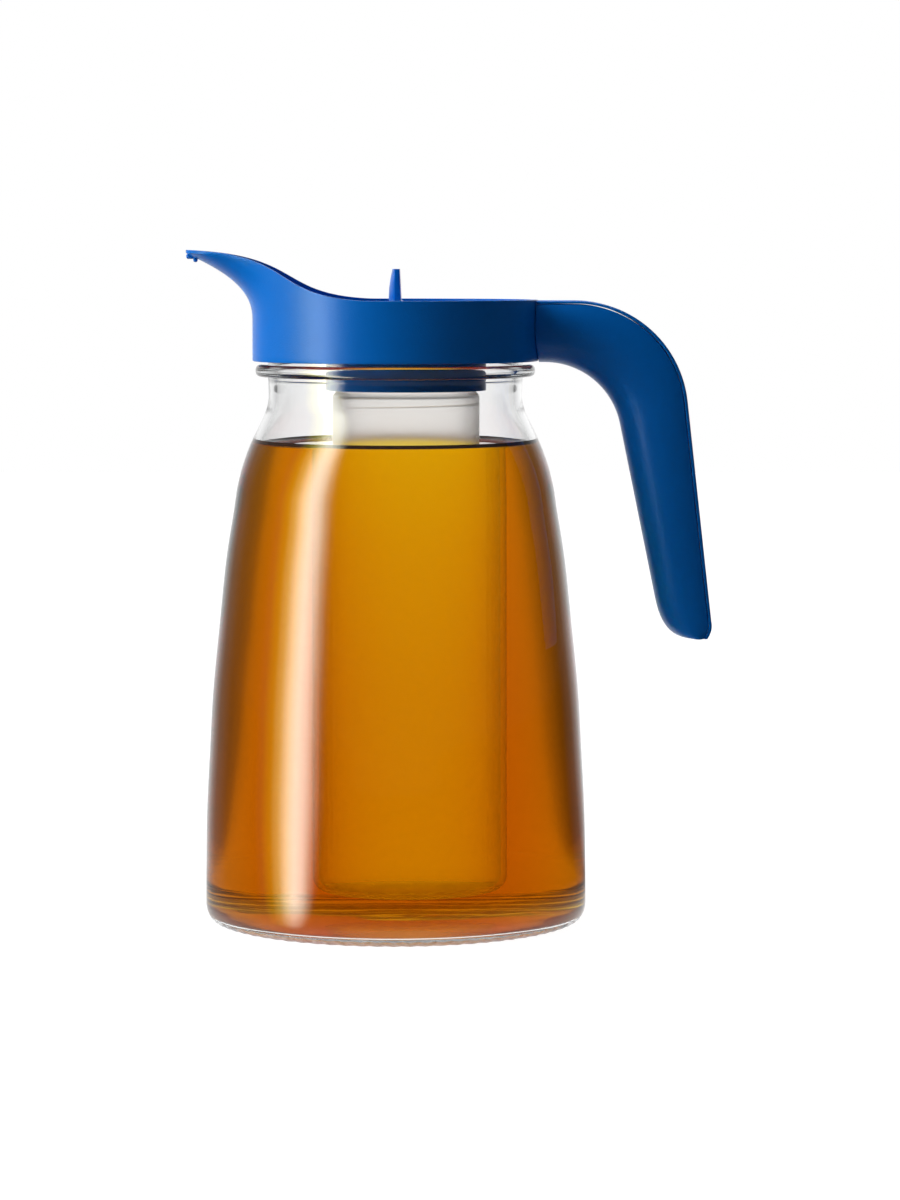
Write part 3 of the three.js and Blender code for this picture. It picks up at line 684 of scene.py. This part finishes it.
edge_t = np.linspace(0, 1, 200)[:, None]
edge_curve = (
    (1 - edge_t) ** 3 * np.array([-71.6, 230.5])
    + 3 * (1 - edge_t) ** 2 * edge_t * np.array([-31.5, 229.0])
    + 3 * (1 - edge_t) * edge_t**2 * np.array([-42.7, 214.8])
    + edge_t**3 * np.array([-8.6, 213.5])
)


def edge_height(radius, turn, raise_floor):
    """How high the wall stands at an angle, under the edge as it is seen from the side."""
    low, high = 212.0, 232.0
    for _ in range(40):
        z = (low + high) / 2
        x = band_radius(radius, turn, z - raise_floor) * math.cos(turn)
        if z < np.interp(x, edge_curve[:, 0], edge_curve[:, 1]):
            low = z
        else:
            high = z
    return low


band_outer, band_inner = 48.9, 46.5
band_foot = 192.6
floor_rise = 1.5
around = 256
outer_rows = 30
inner_rows = 26
ledge_rows = [
    (44.7, 206.0), (44.7, 204.2), (band_inner, 204.0), (band_inner, 198.3), (band_inner, 197.6),
    (band_inner, 195.2), (band_inner, 194.5), (band_inner, band_foot),
]
section = outer_rows + inner_rows + len(ledge_rows)
bpy.ops.object.select_all(action="DESELECT")
bpy.ops.mesh.primitive_torus_add(major_segments=around, minor_segments=section)
lid_collar = bpy.context.object
lid_collar.name = "lid_collar_moulding"
for i in range(around):
    even = 2 * math.pi * i / around
    turn = even + 0.55 * math.sin(even)
    lug = lug_reach(abs((math.degrees(turn)) % 90 - 45))
    outer_top = edge_height(band_outer, turn, 0)
    inner_top = edge_height(band_inner, turn, floor_rise)
    rows = []
    for k in range(outer_rows):
        z = band_foot + (outer_top - band_foot) * (k / (outer_rows - 1)) ** 0.8
        rows.append((band_radius(band_outer, turn, z), z))
    for k in range(inner_rows):
        z = inner_top + (206.1 - inner_top) * (k / (inner_rows - 1)) ** 1.25
        rows.append((band_radius(band_inner, turn, z - floor_rise), z))
    for r, z in ledge_rows:
        rows.append((r - (lug if 195 < z < 198 else 0), z))
    for j, (r, z) in enumerate(rows):
        co = (r * math.cos(turn) * MM, r * math.sin(turn) * MM, z * MM)
        lid_collar.data.vertices[i * section + j].co = co


def on_the_edge(edge):
    a, b = (k % section for k in edge.vertices)
    return a == b and a in (outer_rows - 1, outer_rows)


def round_the_foot(edge):
    a, b = (lid_collar.data.vertices[k].co for k in edge.vertices)
    level = max(abs(a.z - band_foot * MM), abs(b.z - band_foot * MM)) < MM / 100
    return level and abs(a.to_2d().length - b.to_2d().length) < MM / 10


bpy.ops.object.mode_set(mode="EDIT")
bpy.ops.mesh.select_mode(type="EDGE")
for wanted, width, steps in ((on_the_edge, 1.05, 5), (round_the_foot, 0.35, 2)):
    bpy.ops.mesh.select_all(action="DESELECT")
    bpy.ops.object.mode_set(mode="OBJECT")
    for e in lid_collar.data.edges:
        e.select = wanted(e)
    bpy.ops.object.mode_set(mode="EDIT")
    bpy.ops.mesh.bevel(offset=width * MM, segments=steps, affect="EDGES", clamp_overlap=True)
bpy.ops.mesh.select_all(action="SELECT")
bpy.ops.mesh.normals_make_consistent(inside=False)
bpy.ops.mesh.select_mode(type="VERT")
bpy.ops.object.mode_set(mode="OBJECT")
# A blunt lip and a rib under the tip stop drips
for x, length, drop, rounding in ((-71.4, 3.0, 1.8, 0.7), (-69.0, 1.4, 2.9, 0.6)):
    bpy.ops.object.select_all(action="DESELECT")
    bpy.ops.mesh.primitive_cube_add(size=1)
    rib = bpy.context.object
    bpy.ops.transform.resize(value=(length * MM, 4 * MM, drop * MM))
    bpy.ops.transform.translate(value=((x + length / 2) * MM, 0, (229.2 - drop / 2) * MM))
    bpy.ops.object.transform_apply(location=True, rotation=True, scale=True)
    rounded_off(rib, rounding, 4)
    lid_collar.select_set(True)
    bpy.context.view_layer.objects.active = lid_collar
    bpy.ops.object.join()
smooth(lid_collar)
lid_collar.data.materials.clear()
lid_collar.data.materials.append(blue_plastic)
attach(lid_collar, "lid")
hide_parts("lid_collar")


# The handle's grip: a blue moulding, round towards the fingers, whose hollow back the cover
# closes. It sits on the band with a tongue through a slot, arches over and hangs free.
grip_foot, grip_top, grip_end = 192.2, 213.3, 97.7


def arch(x, top, radius, turn):
    return np.array([x + radius * math.sin(turn), top - radius * (1 - math.cos(turn))])


def curved(start, bend, end, t):
    return (1 - t) ** 2 * start + 2 * t * (1 - t) * bend + t**2 * end


def grip_stations(arch_steps, leg_steps, end_steps):
    """Inner and outer edge points of the grip from the band to its end, in side view."""
    inner_turn, outer_turn = math.radians(78.4), math.radians(83.56)
    stations = []
    for k in range(arch_steps + 1):
        t = k / arch_steps
        inner = arch(51.2, grip_foot, 26.3, inner_turn * t)
        outer = arch(61.4, grip_top, 38.5, outer_turn * t)
        stations.append((inner, outer))
    lean_in, lean_out = math.tan(math.radians(11.6)), math.tan(math.radians(6.44))

    def inner_at(z):
        return np.array([inner[0] + (inner[1] - z) * lean_in, z])

    def outer_at(z):
        return np.array([outer[0] + (outer[1] - z) * lean_out, z])

    inner_low, outer_low = grip_end + 13.3, grip_end + 5.9
    for k in range(1, leg_steps + 1):
        t = k / leg_steps
        a = inner_at(inner[1] + (inner_low - inner[1]) * t)
        b = outer_at(outer[1] + (outer_low - outer[1]) * t)
        stations.append((a, b))
    tip_out = outer_at(grip_end) - np.array([2.0, 0])
    tip_in = tip_out - np.array([6.2, 0])
    mid_out = np.array([tip_out[0] + 2.0, grip_end + 2.95])
    for k in range(1, end_steps + 1):
        t = k / end_steps
        a = curved(inner_at(inner_low), inner_at(grip_end), tip_in, t)
        b = curved(outer_at(outer_low), mid_out, tip_out, t)
        stations.append((a, b))
    return stations


def half_width(z):
    share = min(1, max(0, (grip_foot - z) / (grip_foot - grip_end)))
    return 12.2 + (10.8 - 12.2) * share


def from_the_band(p, v, z, share):
    """A point of the root, moved from its place towards the band's wall by a share."""
    near = np.array([math.sqrt(49.2**2 - v**2), z])
    return near + (p - near) * (1 + share)


def skinned(name, rings):
    """A tube through rings of as many points each, closed by a face at either end."""
    count = len(rings[0])
    bpy.ops.object.select_all(action="DESELECT")
    bpy.ops.mesh.primitive_grid_add(x_subdivisions=count, y_subdivisions=len(rings) - 1, size=1)
    made = bpy.context.object
    made.name = name
    for i, v in enumerate(made.data.vertices):
        ring, k = divmod(i, count + 1)
        v.co = [c * MM for c in rings[ring][k % count]]
    bpy.ops.object.mode_set(mode="EDIT")
    bpy.ops.mesh.select_all(action="SELECT")
    bpy.ops.mesh.remove_doubles(threshold=MM / 500)
    bpy.ops.mesh.select_all(action="DESELECT")
    bpy.ops.mesh.select_non_manifold()
    bpy.ops.mesh.fill_holes(sides=0)
    bpy.ops.mesh.select_all(action="SELECT")
    bpy.ops.mesh.normals_make_consistent(inside=False)
    bpy.ops.object.mode_set(mode="OBJECT")
    return made


grip_side = grip_stations(26, 8, 12)
grip_back = 1.4
grip_taper = 0.14
grip_rings = []
root_steps = 6
for k in range(-root_steps, len(grip_side)):
    inner, outer = grip_side[max(0, k)]
    share = min(0, k) / root_steps
    full = half_width(inner[1])
    narrow = full * (1 - grip_taper)
    depth = float(np.linalg.norm(outer - inner))
    front = depth * 0.55
    back = depth - grip_back
    side = []
    for t in np.linspace(0, 1, 8)[1:]:
        side.append((front + (back - 0.4 - front) * t, full * (1 - grip_taper * t**2)))
    side += [(back - 0.1, narrow - 0.12), (back, narrow - 0.35)]
    shape = [(u, -v) for u, v in side[::-1]]
    for s in np.linspace(-math.pi / 2, math.pi / 2, 41):
        shape.append((front - front * math.cos(s), full * math.sin(s)))
    shape += side
    along = (outer - inner) / depth
    ring = []
    for u, v in shape:
        p = inner + along * u
        if k <= 0:
            p = from_the_band(p, v, grip_foot + (grip_top - grip_foot) * u / depth, share)
        ring.append((p[0], v, p[1]))
    grip_rings.append(ring)
handle_shell = skinned("handle_grip", grip_rings)
rounded_off(handle_shell, 0.4, 3, 60)
smooth(handle_shell, 40)
handle_shell.data.materials.clear()
handle_shell.data.materials.append(blue_plastic)
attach(handle_shell, "lid")
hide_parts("handle_shell")


# The handle's back cover: a blue strip that closes the grip, clipped in from behind. Its edge
# shows as a fine line along the back of the handle.
cover_rings = []
for k in range(-root_steps, len(grip_side)):
    inner, outer = grip_side[max(0, k)]
    share = min(0, k) / root_steps
    full = half_width(inner[1]) * (1 - grip_taper)
    depth = float(np.linalg.norm(outer - inner))
    along = (outer - inner) / depth
    shape = [(1.1, -(full - 0.15)), (0.95, -full), (0.7, -full)]
    for s in np.linspace(0, math.pi / 2, 6)[1:]:
        shape.append((0.7 - 0.7 * math.sin(s), -(full - 0.7) - 0.7 * math.cos(s)))
    shape += [(0, -full / 2), (0, 0), (0, full / 2)]
    for s in np.linspace(math.pi / 2, 0, 6):
        shape.append((0.7 - 0.7 * math.sin(s), (full - 0.7) + 0.7 * math.cos(s)))
    shape += [(0.95, full), (1.1, full - 0.15)]
    ring = []
    for u, v in shape:
        p = outer - along * (u + 0.02)
        if k <= 0:
            p = from_the_band(p, v, grip_top - u, share)
        ring.append((p[0], v, p[1]))
    cover_rings.append(ring)
handle_cover = skinned("handle_cover_strip", cover_rings)
smooth(handle_cover, 40)
handle_cover.data.materials.clear()
handle_cover.data.materials.append(blue_plastic)
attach(handle_cover, "lid")
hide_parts("handle_back_cover")


# The pouring flap: a half disc over the opening, moulded in one with its hinge barrel and a
# thumb tab that curves round the thumb and thins towards its top.
flap_plate = carried("pour_flap", "pour_flap_moulding", 0.3)
for v in flap_plate.data.vertices:
    if v.co.z > 214 * MM and v.normal.x < -0.4:
        swell = np.interp(v.co.z / MM, [214, 217.6, 220.8, 223.2], [0.5, 0.65, 0.5, 0.1])
        v.co.x -= swell * MM * max(0, 1 - (v.co.y / MM / 9) ** 2)
flap_plate.data.materials.append(blue_plastic)
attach(flap_plate, "flap")
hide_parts("pour_flap")
